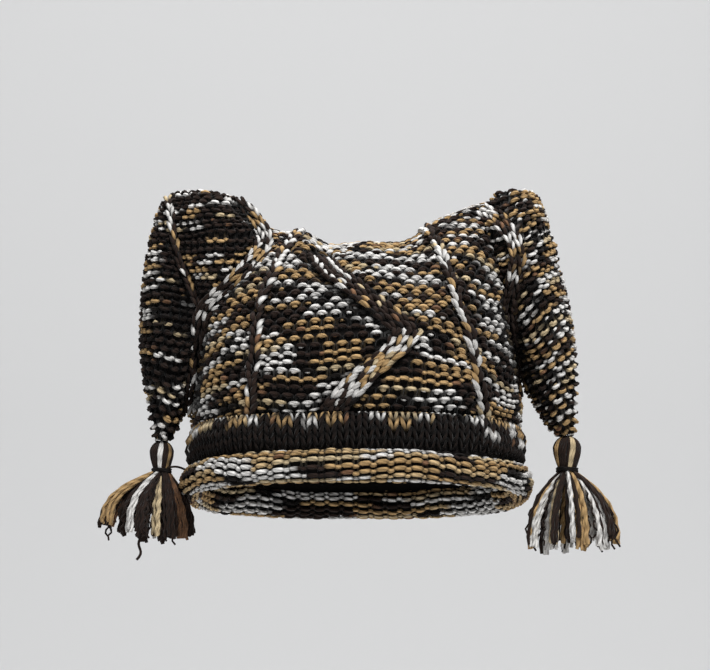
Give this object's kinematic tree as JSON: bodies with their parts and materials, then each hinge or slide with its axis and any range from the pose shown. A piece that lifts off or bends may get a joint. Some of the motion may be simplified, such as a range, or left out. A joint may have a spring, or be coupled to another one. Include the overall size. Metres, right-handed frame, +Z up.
{
  "type": "tassel beanie",
  "caption": "Chunky marled knit beanie with a rolled brim, a cabled front and long folded ears that hang beside the crown, each ending in a tied yarn tassel.",
  "frame": {"origin": "centre of the mouth, level with the lower edge of the rolled brim, where the hat sits on a head", "axes": "+Z up out of the crown, +X from ear to ear, -Y the cabled face side"},
  "size_m": [0.2755, 0.198, 0.1939],
  "materials": {
    "marled_knit": "matt knitted yarn in dark brown, white and tan",
    "tassel_yarn": "matt cut yarn in dark brown, white and tan",
    "dark_yarn": "matt dark yarn"
  },
  "bodies": {
    "root": {"brim_roll": "marled_knit", "band": "marled_knit", "crown": "marled_knit", "ear_left": "marled_knit", "ear_right": "marled_knit", "tassel_left": "tassel_yarn", "tassel_right": "tassel_yarn", "tassel_tie_left": "dark_yarn", "tassel_tie_right": "dark_yarn"}
  },
  "joints": []
}
